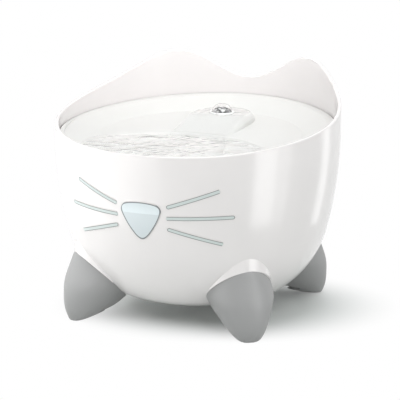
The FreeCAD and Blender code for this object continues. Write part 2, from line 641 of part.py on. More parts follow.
def pump_motor_housing():
    """The sealed motor block: cooling grooves, the rotor's well, sockets for the cups and the seal's groove."""
    body = filleted(pump_block(MOTOR_START, MOTOR_END), 2.0, lambda e: e.BoundBox.YMax < MOTOR_START + 0.1)
    for k in range(4):
        z = PUMP_FLOOR + 9 + k * 6.5
        for side in (-1, 1):
            rib = box(-0.8, 0.8, MOTOR_START + 6, MOTOR_END - 5, z, z + 2.4)
            rib.translate(vec(side * (PUMP_WIDTH / 2), 0, 0))
            body = body.cut(rib)
    body = body.cut(lying_cylinder(WELL_RADIUS, MOTOR_START + 5, MOTOR_END + 1, 0, AXIS_HEIGHT))
    body = body.cut(lying_cylinder(REAR_BUSH + 0.05, MOTOR_START + 2, MOTOR_START + 6, 0, AXIS_HEIGHT))
    for x, y in CUP_SPOTS:
        body = body.cut(cylinder(CUP_STEM + 0.1, PUMP_FLOOR - 1, PUMP_FLOOR + CUP_STEM_DEPTH + 0.2, x, y))
    body = body.cut(lying_cylinder(GLAND_BORE, MOTOR_START - 1, MOTOR_START + 4, 12, PUMP_FLOOR + 32))
    return body.cut(seal_ring(0.0))


def pump_chamber():
    """The impeller's chamber: round hollow, intake with a three-armed bearing, and the upright outlet."""
    body = pump_block(MOTOR_END, CHAMBER_END)
    body = body.cut(lying_cylinder(CHAMBER_RADIUS, MOTOR_END - 1, CHAMBER_END - 2.5, 0, AXIS_HEIGHT))
    body = body.cut(lying_cylinder(INTAKE_RADIUS, CHAMBER_END - 3, CHAMBER_END + 1, 0, AXIS_HEIGHT))
    body = body.fuse(cylinder(OUTLET_RADIUS, PUMP_FLOOR + PUMP_HEIGHT - 3, 74, 0, OUTLET_Y))
    for k in range(3):
        arm = box(-0.9, 0.9, CHAMBER_END - 2.4, CHAMBER_END, 2.0, INTAKE_RADIUS + 0.4)
        arm.rotate(vec(0, 0), vec(0, 1, 0), 90 + 120 * k)
        arm.translate(vec(0, 0, AXIS_HEIGHT))
        body = body.fuse(arm)
    body = body.fuse(lying_cylinder(3.4, CHAMBER_END - 4.5, CHAMBER_END, 0, AXIS_HEIGHT))
    body = body.cut(lying_cylinder(FRONT_BUSH + 0.05, CHAMBER_END - 5, CHAMBER_END - 1.5, 0, AXIS_HEIGHT))
    bore = cylinder(OUTLET_BORE, AXIS_HEIGHT + CHAMBER_RADIUS - 3, 75, 0, OUTLET_Y)
    return body.cut(bore).removeSplitter()


def chamber_seal():
    return seal_ring(0.1)


def intake_grille():
    cap = filleted(pump_block(CHAMBER_END, GRILLE_END), 3.0, lambda e: e.BoundBox.YMin > GRILLE_END - 0.1)
    cap = cap.cut(box(-PUMP_WIDTH / 2 + 2, PUMP_WIDTH / 2 - 2, CHAMBER_END - 1, GRILLE_END - 2, PUMP_FLOOR + 2,
                      PUMP_FLOOR + PUMP_HEIGHT - 2))
    for k in range(6):
        z = PUMP_FLOOR + 6 + k * 4.8
        cap = cap.cut(box(-14, 14, GRILLE_END - 3, GRILLE_END + 1, z, z + 2.2))
    return cap


def intake_sponge():
    return box(-PUMP_WIDTH / 2 + 2.3, PUMP_WIDTH / 2 - 2.3, CHAMBER_END + 0.3, GRILLE_END - 2.3, PUMP_FLOOR + 2.3,
               PUMP_FLOOR + PUMP_HEIGHT - 2.3)


def suction_cups():
    """Four turned cups: a hollow sole, a neck and a stem that plugs into the motor housing."""
    floor = BASE_HEIGHT + WALL
    cups = []
    stem_top = PUMP_FLOOR + CUP_STEM_DEPTH
    outline = polygon([vec(0, 0, floor + 1.2), vec(4.4, 0, floor), vec(5.2, 0, floor), vec(3.2, 0, floor + 2.4),
                       vec(3.2, 0, PUMP_FLOOR), vec(CUP_STEM, 0, PUMP_FLOOR), vec(CUP_STEM, 0, stem_top),
                       vec(0, 0, stem_top)])
    for x, y in CUP_SPOTS:
        cup = Part.Face(outline).revolve(vec(0, 0), vec(0, 0, 1), 360)
        cup.translate(vec(x, y, 0))
        cups.append(cup)
    return Part.makeCompound(cups)


def impeller_shaft():
    return lying_cylinder(SHAFT_RADIUS, MOTOR_START + 2.6, CHAMBER_END - 1.8, 0, AXIS_HEIGHT)


def shaft_bush(y0, y1, radius):
    bush = lying_cylinder(radius, y0, y1, 0, AXIS_HEIGHT)
    return bush.cut(lying_cylinder(SHAFT_RADIUS, y0 - 1, y1 + 1, 0, AXIS_HEIGHT))


def rotor_bore(shape):
    return shape.cut(lying_cylinder(SHAFT_RADIUS + SHAFT_GAP, 0, 70, 0, AXIS_HEIGHT))


def rotor_magnet():
    ring = lying_cylinder(MAGNET_RADIUS, MOTOR_START + 8, MOTOR_END - 1, 0, AXIS_HEIGHT)
    return ring.cut(lying_cylinder(HUB_RADIUS + 0.1, 0, 70, 0, AXIS_HEIGHT))


def impeller():
    """A long hub through the magnet, a disc that clears the motor housing, and straight blades."""
    hub = lying_cylinder(HUB_RADIUS, MOTOR_START + 8, MOTOR_END + BLADE_END, 0, AXIS_HEIGHT)
    disc_end = MOTOR_END + DISC_GAP + DISC_THICK
    hub = hub.fuse(lying_cylinder(DISC_RADIUS, MOTOR_END + DISC_GAP, disc_end, 0, AXIS_HEIGHT))
    for k in range(BLADES):
        blade = box(-BLADE_WIDTH / 2, BLADE_WIDTH / 2, disc_end - 0.4, MOTOR_END + BLADE_END, 2.8, DISC_RADIUS)
        blade.rotate(vec(0, 0), vec(0, 1, 0), 360 / BLADES * k)
        blade.translate(vec(0, 0, AXIS_HEIGHT))
        hub = hub.fuse(blade)
    return rotor_bore(hub).removeSplitter()


def riser_tube():
    """The upright tube from the pump's outlet, which narrows and steps back to slide into the spout."""
    def column(low_radius, high_radius, margin):
        rings = [Part.Wire(Part.makeCircle(low_radius, vec(0, OUTLET_Y, RISER_STEP[0]))),
                 Part.Wire(Part.makeCircle(high_radius, vec(0, SPOUT_Y, RISER_STEP[1])))]
        low = cylinder(low_radius, RISER_BOTTOM - margin, RISER_STEP[0], 0, OUTLET_Y)
        high = cylinder(high_radius, RISER_STEP[1], RISER_TOP + margin, 0, SPOUT_Y)
        return low.fuse(Part.makeLoft(rings, True, True)).fuse(high)
    return column(SOCKET_RADIUS, RISER_RADIUS, 0).cut(column(SOCKET_BORE, RISER_BORE, 1))


def cable_grommet():
    """The plug in the wall that the pump's lead passes; both of its flanges follow the wall."""
    wall_out = bowl_radius(GLAND_HEIGHT)
    back, front = wall_out + GLAND_ENDS[0], wall_out + GLAND_ENDS[1]
    plug = lying_cylinder(GLAND_HOLE - 0.1, front, back, 0, GLAND_HEIGHT)
    flanges = lying_cylinder(GLAND_FLANGE, front, back, 0, GLAND_HEIGHT).cut(bowl_band(-0.05, WALL + 0.05))
    bore = lying_cylinder(GLAND_BORE, front - 1, back + 1, 0, GLAND_HEIGHT)
    return plug.fuse(flanges).cut(bore).removeSplitter()


def pieces():
    yield "reservoir_shell", reservoir_shell()
    for name, angle in FOOT_ANGLES.items():
        yield name, foot(angle)
    yield "foot_screws", foot_screws()
    yield "nose_lens", nose_lens()
    yield "nose_gasket", nose_gasket()
    for level in WHISKERS:
        yield "whisker_left_" + level, whisker(level, -1)
        yield "whisker_right_" + level, whisker(level, 1)
    yield "led_board", led_board()
    yield "led_lamp", led_lamp()
    yield "led_cover", led_cover()
    yield "led_cover_seal", led_cover_seal()
    yield "led_cover_screws", led_cover_screws()
    yield "cable_grommet", cable_grommet()
    yield "drinking_dish", drinking_dish()
    yield "spout_nozzle", spout_nozzle()
    yield "filter_tray", filter_tray()
    yield "filter_lid", filter_lid()
    yield "filter_foam_pad", filter_pad(TRAY_BOTTOM + TRAY_WALL + 0.1, TRAY_BOTTOM + 8)
    yield "filter_carbon_pad", filter_pad(TRAY_BOTTOM + 8.2, TRAY_TOP - 4.2)
    yield "pump_motor_housing", pump_motor_housing()
    yield "pump_chamber", pump_chamber()
    yield "chamber_seal", chamber_seal()
    yield "intake_grille", intake_grille()
    yield "intake_sponge", intake_sponge()
    yield "suction_cups", suction_cups()
    yield "impeller_shaft", impeller_shaft()
    yield "shaft_bush_rear", shaft_bush(MOTOR_START + 2, MOTOR_START + 5, REAR_BUSH)
    yield "shaft_bush_front", shaft_bush(CHAMBER_END - 4.4, CHAMBER_END - 1.5, FRONT_BUSH)
    yield "rotor_magnet", rotor_magnet()
    yield "impeller", impeller()
    yield "riser_tube", riser_tube()


os.makedirs("parts", exist_ok=True)
for node, shape in pieces():
    if not shape.isValid() or any(s.Volume <= 0 for s in shape.Solids):
        raise ValueError(node + " is not a valid solid")
    print(node, "solids", len(shape.Solids), "volume", round(shape.Volume), "faces", len(shape.Faces))
    shape.exportStep("parts/" + node + ".step")
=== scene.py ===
"""Pet water fountain: finishes, water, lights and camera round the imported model.

Metres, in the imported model's frame: +Z up, the face looks along -Y, the origin is on the floor.
"""

import math

import bmesh
import bpy
from bpy.props import FloatProperty, FloatVectorProperty, PointerProperty
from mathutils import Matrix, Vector, noise


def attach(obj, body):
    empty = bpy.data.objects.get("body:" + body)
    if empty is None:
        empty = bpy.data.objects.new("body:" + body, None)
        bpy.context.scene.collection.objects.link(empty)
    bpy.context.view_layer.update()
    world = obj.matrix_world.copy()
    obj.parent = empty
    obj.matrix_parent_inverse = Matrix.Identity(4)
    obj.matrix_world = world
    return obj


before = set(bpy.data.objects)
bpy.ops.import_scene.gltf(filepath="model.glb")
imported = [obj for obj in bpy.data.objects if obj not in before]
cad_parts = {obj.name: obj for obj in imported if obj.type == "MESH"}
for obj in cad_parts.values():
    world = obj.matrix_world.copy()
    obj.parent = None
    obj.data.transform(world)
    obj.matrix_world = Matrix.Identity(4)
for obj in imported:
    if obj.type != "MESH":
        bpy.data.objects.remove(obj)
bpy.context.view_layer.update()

bl_info = {
    "name": "Pet Water Fountain",
    "version": (1, 0, 0),
    "blender": (4, 5, 0),
    "location": "View3D > Sidebar > Fountain",
    "description": "Finishes, water and studio for a pet water fountain",
    "category": "Object",
}

FEET = ("foot_front_right", "foot_rear_right", "foot_rear_left", "foot_front_left")
WHISKERS = tuple("whisker_%s_%s" % (side, level) for side in ("left", "right")
                 for level in ("upper", "middle", "lower"))

# The dish as the CAD has it, where water lies on it
DISH_INSIDE = 0.1028                    # radius of its wall at the water
SPOUT_Y, LIP_TOP = 0.049, 0.1466        # the spout's axis, and the top of its lip
RAMP_TOP, RAMP_BREAK = 0.145, 0.038     # height of the ramp's level part, and where it starts to fall
RAMP_SLOPE, RAMP_BEND = 0.24, 0.0036    # how steeply it falls, and half the length of its bend
RAMP_HALF_WIDTH, RAMP_FLAT = 0.0252, 0.0215     # half widths of the whole and of its flat middle
RAMP_EDGE = 0.0045                      # radius of its rounded edge

# Water
# The pool is an ellipse round (0, POOL_CENTRE), whose rim runs into the dish's floor
POOL_CENTRE, POOL_HALF_LENGTH, POOL_HALF_DEPTH = -0.0505, 0.0757, 0.0592
POOL_FRONT, FRONT_BLEND = -0.078, 0.006     # in front of this the dish's wall bounds the pool
POOL_POINTS, POOL_RINGS, POOL_SKIN = 200, 56, 0.0012
CALM_SHARE = 0.92                       # the waves die away beyond this share of the way to the shore
CURL_REACH = 0.011
LIVELY_X, LIVELY_SPREAD = -0.022, 0.04
SHEET_START, SHEET_MARGIN, SHEET_SKIN, SHEET_HOLE = -0.0045, 0.001, 0.0006, 0.0078
DOME_SKIN, DOME_DIP = 0.0004, 0.0014
# The froth in the dome, whose dark hollows are painted shade
FROTH_LEVEL, FROTH_HALF_WIDTH, FROTH_HALF_HEIGHT = 0.1462, 0.0062, 0.0036
FROTH_STEM, FROTH_DEPTH = 0.0056, 0.0105    # radius and depth of the stem that reaches into the riser
# The white ring round the lip is a painted highlight
RING_RADIUS, RING_THICKNESS = 0.0091, 0.0010

# Painted lines on the nose and the whiskers: a thin dark line round each window is painted shade, standing in
# for the shadow in the gap round it
WHISKER_EDGE_SHADE, NOSE_EDGE_SHADE, LINE_BLUR = 0.00045, 0.0008, 0.00025
WHISKER_BEZEL, NOSE_BEZEL = 0.0004, 0.0001
NOSE_FOOT, NOSE_LINE = 0.078, 0.0985    # heights of the nose's lower end and of the level line across it
# One over the lengths in which the line itself, the lower half and the upper half change
NOSE_LINE_SHARP, NOSE_LOWER_SHARP, NOSE_UPPER_SHARP = 1500.0, 38.0, 160.0
NOSE_BOW, NOSE_ROUNDING = 0.060, 0.009  # radius of the nose's bowed sides, and how softly they meet
NOSE_ARCS = ((0.040342, 0.0, 0.120592), (0.0, 0.0, 0.047178), (-0.040342, 0.0, 0.120592))   # their centres

# Stage
FLOOR_SIZE, FLOOR_COLOUR = 8.0, (0.66, 0.69, 0.675)
SHADE_CENTRE, SHADE_TURN, SHADE_SIZE = (0.02, 0.008, 0.0), math.radians(20.0), (0.15, 0.11, 1.0)
SHADE_FADE = 0.4, 0.95                  # shares of SHADE_SIZE between which the shadow fades into white
WORLD_COLOUR, WORLD_STRENGTH = (0.985, 0.995, 1.0, 1), 0.66
# Name, place, aim, width, height, power
LAMPS = (("key", (-1.15, -0.75, 1.15), (0, 0, 0.08), 1.3, 1.3, 1.4),
         ("fill", (0.95, -0.9, 1.2), (0, 0, 0.12), 1.0, 1.0, 6.6),
         ("overhead", (0.0, -0.1, 1.3), (0, 0, 0.1), 0.9, 0.9, 5.3))
CROWN_LIGHT = ("crown light", (0.14, -0.22, 0.37), (-0.05, 0.09, 0.165), 0.2, 0.08, 0.045)
CROWN_SPREAD = math.radians(52)
# Name, azimuth from the face, power
GLOWS = (("left glow", -75.0, 0.085), ("front glow", -30.0, 0.035))
GLOW_REACH, GLOW_HEIGHT, GLOW_AIM, GLOW_WIDTH, GLOW_TALL = 0.34, 0.115, 0.1, 0.18, 0.07
GLOW_SPREAD = math.radians(80)
# Name, azimuth from the face, width, brightness
STRIPS = (("left strip", -62.0, 0.20, 1.45), ("front left strip", -26.0, 0.09, 1.5),
          ("face strip", -8.0, 0.06, 0.9), ("right strip", 66.5, 0.065, 2.9),
          ("right strip's edge", 80.0, 0.04, 1.3), ("rear strip", 123.0, 0.045, 1.5))
STRIP_REACH, STRIP_HEIGHT = 0.24, 0.16
VIEW_AZIMUTH, VIEW_ELEVATION = math.radians(22.91), math.radians(14.26)
VIEW_DISTANCE, VIEW_TARGET, VIEW_SHIFT = 1.4198, (0, 0, 0.0659), (0.0049, 0.0582)
SENSOR_WIDTH, FOCAL_PIXELS, PICTURE_PIXELS = 36.0, 1814.3, 400.0


class FountainSizes(bpy.types.PropertyGroup):
    water_level: FloatProperty(name="Water level", description="Height of the pool's surface above the floor",
                               default=0.1358, unit="LENGTH")
    ripple_height: FloatProperty(name="Ripple height", description="Depth of the waves on the pool",
                                 default=0.0007, unit="LENGTH")
    dome_radius: FloatProperty(name="Dome radius", description="Radius of the water dome over the spout",
                               default=0.0082, unit="LENGTH")
    dome_height: FloatProperty(name="Dome height",
                               description="Height of the water dome over the spout's lip",
                               default=0.0062, unit="LENGTH")
    sheet_depth: FloatProperty(name="Sheet depth", description="Thickness of the water on the ramp",
                               default=0.0009, unit="LENGTH")


class FountainColours(bpy.types.PropertyGroup):
    body: FloatVectorProperty(name="Body", description="White of the reservoir", subtype="COLOR",
                              default=(0.83, 0.80, 0.795), min=0, max=1)
    dish: FloatVectorProperty(name="Dish", description="White of the drinking dish", subtype="COLOR",
                              default=(0.695, 0.695, 0.678), min=0, max=1)
    feet: FloatVectorProperty(name="Feet", description="Grey of the feet", subtype="COLOR",
                              default=(0.33, 0.33, 0.33), min=0, max=1)
    nose: FloatVectorProperty(name="Nose", description="Tint of the nose window", subtype="COLOR",
                              default=(0.70, 0.76, 0.785), min=0, max=1)
    whisker: FloatVectorProperty(name="Whiskers", description="Tint of the whisker windows", subtype="COLOR",
                                 default=(0.65, 0.705, 0.695), min=0, max=1)
    water: FloatVectorProperty(name="Water", description="Tint of the water", subtype="COLOR",
                               default=(0.99, 0.98, 0.98), min=0, max=1)


# Material building


class Value:
    """A number socket that takes part in Python expressions, which add Math nodes."""

    def __init__(self, painter, socket):
        self.painter = painter
        self.socket = socket

    def _math(self, operation, *values):
        return self.painter.node("ShaderNodeMath", {"operation": operation}, *values)

    def __add__(self, other):
        return self._math("ADD", self, other)

    def __sub__(self, other):
        return self._math("SUBTRACT", self, other)

    def __rsub__(self, other):
        return self._math("SUBTRACT", other, self)

    def __mul__(self, other):
        return self._math("MULTIPLY", self, other)

    def __truediv__(self, other):
        return self._math("DIVIDE", self, other)

    def __abs__(self):
        return self._math("ABSOLUTE", self)

    def limited(self):
        """The value held between 0 and 1."""
        return self.painter.node("ShaderNodeClamp", {}, self, 0.0, 1.0)


class Painter:
    """One procedural material and the nodes that its finish is made of."""

    def __init__(self, name, base, roughness, **constants):
        self.material = bpy.data.materials.new(name)
        self.material.use_nodes = True
        self.tree = self.material.node_tree
        self.shader = self.tree.nodes["Principled BSDF"]
        self.shader.inputs["Base Color"].default_value = (*base, 1)
        self.shader.inputs["Roughness"].default_value = roughness
        for socket, value in constants.items():
            self.shader.inputs[socket.replace("_", " ")].default_value = value
        self.material.diffuse_color = (*base, 1)

    def node(self, kind, settings, *inputs, output=0, **named):
        """Add a node, give it its settings, then its inputs in order or by name; returns one output."""
        made = self.tree.nodes.new(kind)
        for key, value in settings.items():
            setattr(made, key, value)
        for key, value in list(enumerate(inputs)) + [(k.replace("_", " "), v) for k, v in named.items()]:
            self._feed(made.inputs[key], value)
        return Value(self, made.outputs[output])

    def _feed(self, socket, value):
        if isinstance(value, Value):
            self.tree.links.new(value.socket, socket)
        else:
            socket.default_value = value

    def feed(self, name, value):
        """Link a value to one of the shader's own sockets."""
        self._feed(self.shader.inputs[name], value)

    def vector(self, operation, *inputs):
        """A number worked out from one or two vectors."""
        return self.node("ShaderNodeVectorMath", {"operation": operation}, *inputs, output="Value")

    def place(self):
        """Object coordinates, in metres."""
        return self.node("ShaderNodeTexCoord", {}, output="Object")

    def seen_or_mirrored(self):
        """1 for what the camera sees, directly or in a mirror or through glass."""
        path = self.tree.nodes.new("ShaderNodeLightPath")
        seen, gloss, through = (Value(self, path.outputs["Is %s Ray" % kind])
                                for kind in ("Camera", "Glossy", "Transmission"))
        return (seen + gloss + through).limited()

    def height(self):
        """Height above the floor, in metres."""
        return self.node("ShaderNodeSeparateXYZ", {}, self.place(), output="Z")

    def noise(self, scale, detail, stretch=(1, 1, 1)):
        """Cloudy noise round 0.5."""
        spot = self.node("ShaderNodeMapping", {}, self.place(), Scale=stretch)
        return self.node("ShaderNodeTexNoise", {}, Vector=spot, Scale=scale, Detail=detail, output="Fac")

    def blend(self, share, first, second):
        """A colour between two colours."""
        made = self.tree.nodes.new("ShaderNodeMix")
        made.data_type = "RGBA"
        for socket, value in zip((made.inputs[0], made.inputs[6], made.inputs[7]), (share, first, second)):
            self._feed(socket, value if isinstance(value, (Value, float)) else (*value, 1))
        return Value(self, made.outputs[2])

    def bump(self, height, strength, distance):
        """Relief from a height that runs from 0 to 1."""
        relief = self.node("ShaderNodeBump", {}, Strength=strength, Distance=distance, Height=height)
        self.feed("Normal", relief)


def shaded(colour, factor):
    """A colour made lighter or darker."""
    return tuple(min(1.0, part * factor) for part in colour)


def plastic(name, colour, roughness, grain=900.0, relief=0.05, **constants):
    """Moulded plastic: a hardly seen mottling of colour and gloss, and a fine skin."""
    paint = Painter(name, colour, roughness, **constants)
    cloud = paint.noise(38.0, 3.0)
    skin = paint.noise(grain, 2.0)
    paint.feed("Base Color", paint.blend(cloud, shaded(colour, 0.975), shaded(colour, 1.02)))
    paint.feed("Roughness", (cloud - 0.5) * 0.06 + (skin - 0.5) * 0.05 + roughness)
    paint.bump(skin, relief, 0.0002)
    return paint.material


def tinted_window(name, colour, edge_of, gloss, bezel, edge):
    """Tinted clear plastic before the lamp pocket: a pale face, a thin dark line of painted shade for the
    shadow in the gap round the window, and a white bezel.
    """
    paint = Painter(name, colour, 0.3, Coat_Weight=gloss, Coat_Roughness=0.05, Specular_IOR_Level=0.12)
    cloud = paint.noise(60.0, 2.0)
    face, inset = edge_of(paint)
    inset = inset - bezel
    # The dark line is painted shade: the shadow in the gap round the window
    line = ((edge - inset) / LINE_BLUR + 0.5).limited()
    tone = paint.blend(cloud * 0.35, face, shaded(colour, 0.9))
    lined = paint.blend(line, tone, shaded(colour, 0.3))
    outside = (0.5 - inset / LINE_BLUR).limited()
    paint.feed("Base Color", paint.blend(outside, lined, tuple(colours().body)))
    paint.feed("Roughness", cloud * 0.08 + line * 0.2 + (0.4 - 0.9 * gloss))
    return paint.material


def nose_face(paint):
    """The nose's colour, lighter above its level line, and the distance inwards from its outline."""
    colour = tuple(colours().nose)
    height = paint.height()
    above = ((height - NOSE_LINE) * NOSE_LINE_SHARP + 0.5).limited()
    low_part = ((height - NOSE_FOOT) * NOSE_LOWER_SHARP).limited()
    lower = paint.blend(low_part, shaded(colour, 0.93), shaded(colour, 1.02))
    high_part = ((height - NOSE_LINE) * NOSE_UPPER_SHARP).limited()
    upper = paint.blend(high_part, shaded(colour, 1.2), shaded(colour, 1.08))
    spot = paint.node("ShaderNodeVectorMath", {"operation": "MULTIPLY"}, paint.place(), (1, 0, 1))
    outside, *others = [paint.vector("DISTANCE", spot, centre) - NOSE_BOW for centre in NOSE_ARCS]
    for other in others:
        outside = paint.node("ShaderNodeMath", {"operation": "SMOOTH_MAX"}, outside, other, NOSE_ROUNDING)
    return paint.blend(above, lower, upper), 0.0 - outside


def whisker_face(name):
    """A function that gives a whisker's colour and the distance inwards from its outline."""
    points = [point.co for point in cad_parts[name].data.vertices]
    middle = sum(points, Vector()) / len(points)
    low = max(points, key=lambda p: (p - middle).length)
    far = max(points, key=lambda p: (p - low).length)
    along = (far - low).normalized()
    inwards = Vector((-middle.x, -middle.y, 0)).normalized()
    along = (along - inwards * along.dot(inwards)).normalized()
    across = inwards.cross(along)
    half_width = max(abs((p - middle).dot(across)) for p in points)
    half_length = max(abs((p - middle).dot(along)) for p in points)

    def face(paint):
        def measure(direction):
            return paint.vector("DOT_PRODUCT", paint.place(), tuple(direction)) - middle.dot(direction)

        past_bar = abs(measure(along)) - (half_length - half_width)
        beyond = paint.node("ShaderNodeMath", {"operation": "MAXIMUM"}, past_bar, 0.0)
        side = measure(across)
        reach = paint.node("ShaderNodeMath", {"operation": "SQRT"}, side * side + beyond * beyond)
        return tuple(colours().whisker), half_width - reach
    return face


def rubber(name, colour):
    """Dull rubber with a grained skin."""
    paint = Painter(name, colour, 0.62)
    skin = paint.noise(700.0, 4.0)
    paint.feed("Base Color", paint.blend(skin, shaded(colour, 0.85), shaded(colour, 1.15)))
    paint.feed("Roughness", skin * 0.2 + 0.5)
    paint.bump(skin, 0.15, 0.0003)
    return paint.material


def open_foam(name, colour, cell):
    """Foam or fibre with open cells, dark inside with painted shade."""
    paint = Painter(name, colour, 0.9)
    cells = paint.node("ShaderNodeTexVoronoi", {}, Vector=paint.place(), Scale=cell, output="Distance")
    walls_and_cell_shade = (cells * 1.8).limited()
    # Painted shade: the cells' hollows darker, the walls between them lighter
    paint.feed("Base Color", paint.blend(walls_and_cell_shade, shaded(colour, 0.3), shaded(colour, 1.3)))
    paint.bump(walls_and_cell_shade, 0.8, 0.001)
    return paint.material


def turned_steel(name):
    """Steel with fine rings from turning."""
    paint = Painter(name, (0.55, 0.55, 0.56), 0.3, Metallic=1.0)
    lines = paint.noise(400.0, 3.0, stretch=(1, 1, 12))
    paint.feed("Roughness", lines * 0.25 + 0.18)
    paint.bump(lines, 0.1, 0.0002)
    return paint.material


def sintered(name):
    """The magnet's dark grainy metal."""
    paint = Painter(name, (0.05, 0.05, 0.055), 0.5, Metallic=0.4)
    grain = paint.noise(1400.0, 3.0)
    paint.feed("Base Color", paint.blend(grain, (0.03, 0.03, 0.033), (0.09, 0.09, 0.095)))
    paint.feed("Roughness", grain * 0.3 + 0.35)
    return paint.material


def dress(material, *nodes):
    """Give CAD nodes a material in every slot."""
    for name in nodes:
        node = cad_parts[name]
        if not node.material_slots:
            raise RuntimeError(name + " has no material slot")
        for slot in node.material_slots:
            slot.material = material


# Modelling helpers


def deselect():
    """Leave edit mode and select nothing."""
    if bpy.context.object and bpy.context.object.mode != "OBJECT":
        bpy.ops.object.mode_set(mode="OBJECT")
    bpy.ops.object.select_all(action="DESELECT")


def select_faces(obj, picks):
    """In edit mode, select the faces that the test picks."""
    bpy.ops.mesh.select_all(action="DESELECT")
    mesh = bmesh.from_edit_mesh(obj.data)
    for face in mesh.faces:
        face.select = picks(face)
    mesh.select_flush(True)
    bmesh.update_edit_mesh(obj.data)


def move_points(obj, rule):
    """In edit mode, put every vertex where the rule says."""
    mesh = bmesh.from_edit_mesh(obj.data)
    for point in mesh.verts:
        point.co = rule(point.co)
    bmesh.update_edit_mesh(obj.data)


def thicken(obj, depth):
    """In object mode, give the active object's surface a depth below it."""
    skin = obj.modifiers.new("depth", "SOLIDIFY")
    skin.thickness = depth
    skin.offset = -1
    bpy.ops.object.modifier_apply(modifier=skin.name)


def settle(obj, name, body, material, smooth):
    """Finish a piece: its place in its mesh, smooth shading, material, body and slot."""
    deselect()
    obj.select_set(True)
    bpy.context.view_layer.objects.active = obj
    bpy.ops.object.transform_apply(location=True, rotation=True, scale=True)
    bpy.ops.object.shade_smooth_by_angle(angle=math.radians(smooth))
    obj.name = name
    obj.data.name = name
    obj.data.materials.clear()
    obj.data.materials.append(material)
    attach(obj, body)


def sizes():
    return bpy.context.scene.fountain_sizes


def colours():
    return bpy.context.scene.fountain_colours


def water_material():
    """Clear water that lets light through to the dish: its shadow is left out."""
    paint = Painter("clear water", tuple(colours().water), 0.03, IOR=1.333, Transmission_Weight=1.0)
    path = paint.tree.nodes.new("ShaderNodeLightPath")
    shadow, diffuse = (Value(paint, path.outputs["Is %s Ray" % kind]) for kind in ("Shadow", "Diffuse"))
    dark = (shadow + diffuse).limited()
    open_air = paint.node("ShaderNodeBsdfTransparent", {}, (0.97, 0.98, 0.98, 1))
    mix = paint.node("ShaderNodeMixShader", {}, dark, Value(paint, paint.shader.outputs[0]), open_air)
    paint.tree.links.new(mix.socket, paint.tree.nodes["Material Output"].inputs["Surface"])
    return paint.material


def froth_and_painted_light(name, hollow, share):
    """Froth, white with hollows which are darker and take a share of it: the hollows are painted shade, and
    as the ring round the lip the whole is a painted highlight.
    """
    paint = Painter(name, (0.8, 0.8, 0.8), 0.25)
    froth = paint.noise(420.0, 3.0)
    # Where the hollows lie the colour turns darker: painted shade
    shade_mask = ((froth - share) * 6.0).limited()
    paint.feed("Base Color", paint.blend(shade_mask, (hollow,) * 3, (0.9, 0.9, 0.9)))
    paint.bump(froth, 0.5, 0.0006)
    return paint.material


# Operators


class FOUNTAIN_OT_shell(bpy.types.Operator):
    """Finish the white reservoir and its feet"""
    bl_idname = "fountain.shell"
    bl_label = "Reservoir and Feet"

    def execute(self, context):
        gloss = plastic("pearl white plastic", tuple(colours().body), 0.22, 500.0, 0.02, Coat_Weight=0.4,
                        Coat_Roughness=0.14)
        dress(gloss, "reservoir_shell")
        satin = plastic("satin grey plastic", tuple(colours().feet), 0.46, 1500.0, 0.25)
        dress(satin, *FEET)
        dress(turned_steel("screw steel"), "foot_screws", "led_cover_screws", "impeller_shaft")
        return {"FINISHED"}


class FOUNTAIN_OT_face(bpy.types.Operator):
    """Finish the nose and whisker windows and the lamp behind them"""
    bl_idname = "fountain.face"
    bl_label = "Face Windows"

    def execute(self, context):
        dress(tinted_window("aqua window", tuple(colours().nose), nose_face, 0.3, NOSE_BEZEL, NOSE_EDGE_SHADE),
              "nose_lens")
        tint = tuple(colours().whisker)
        for name in WHISKERS:
            window = tinted_window(name.replace("_", " ") + " window", tint, whisker_face(name), 0.0,
                                   WHISKER_BEZEL, WHISKER_EDGE_SHADE)
            dress(window, name)
        dress(rubber("seal rubber", (0.12, 0.12, 0.12)), "nose_gasket", "led_cover_seal", "cable_grommet",
              "chamber_seal", "suction_cups", "shaft_bush_rear", "shaft_bush_front")
        dress(plastic("coated board", (0.03, 0.16, 0.08), 0.35), "led_board")
        dress(plastic("lamp epoxy", (0.8, 0.85, 0.9), 0.1, Transmission_Weight=0.6), "led_lamp")
        return {"FINISHED"}


class FOUNTAIN_OT_inside(bpy.types.Operator):
    """Finish the dish, the filter and the pump"""
    bl_idname = "fountain.inside"
    bl_label = "Dish, Filter and Pump"

    def execute(self, context):
        dress(plastic("dish plastic", tuple(colours().dish), 0.3, 700.0, 0.05), "drinking_dish")
        dress(plastic("clear nozzle", (0.75, 0.8, 0.8), 0.1, Transmission_Weight=0.7), "spout_nozzle")
        dress(plastic("inner white plastic", (0.72, 0.72, 0.70), 0.42), "led_cover", "filter_tray",
              "filter_lid", "riser_tube", "impeller")
        dress(plastic("black pump plastic", (0.02, 0.02, 0.022), 0.4, 1200.0, 0.3), "pump_motor_housing",
              "pump_chamber", "intake_grille")
        dress(open_foam("grey foam", (0.08, 0.085, 0.095), 900.0), "filter_foam_pad", "intake_sponge")
        dress(open_foam("carbon fibre pad", (0.03, 0.03, 0.03), 500.0), "filter_carbon_pad")
        dress(sintered("magnet"), "rotor_magnet")
        return {"FINISHED"}


def shoreline(angle):
    """Distance from the pool's centre to the water's edge: the ellipse, or the dish's wall near the front."""
    c, s = math.cos(angle), math.sin(angle)
    ellipse = 1 / math.hypot(c / POOL_HALF_LENGTH, s / POOL_HALF_DEPTH)
    wall = -POOL_CENTRE * s + math.sqrt((POOL_CENTRE * s) ** 2 - POOL_CENTRE ** 2 + DISH_INSIDE ** 2)
    near_front = min(1.0, max(0.0, (POOL_FRONT - (POOL_CENTRE + wall * s)) / FRONT_BLEND))
    return ellipse + (wall - ellipse) * near_front


def waves(x, y, along, across, pattern):
    """Smooth noise from -1 to 1, with so many waves a metre along and across."""
    return noise.noise(Vector((x * along, y * across, pattern)))


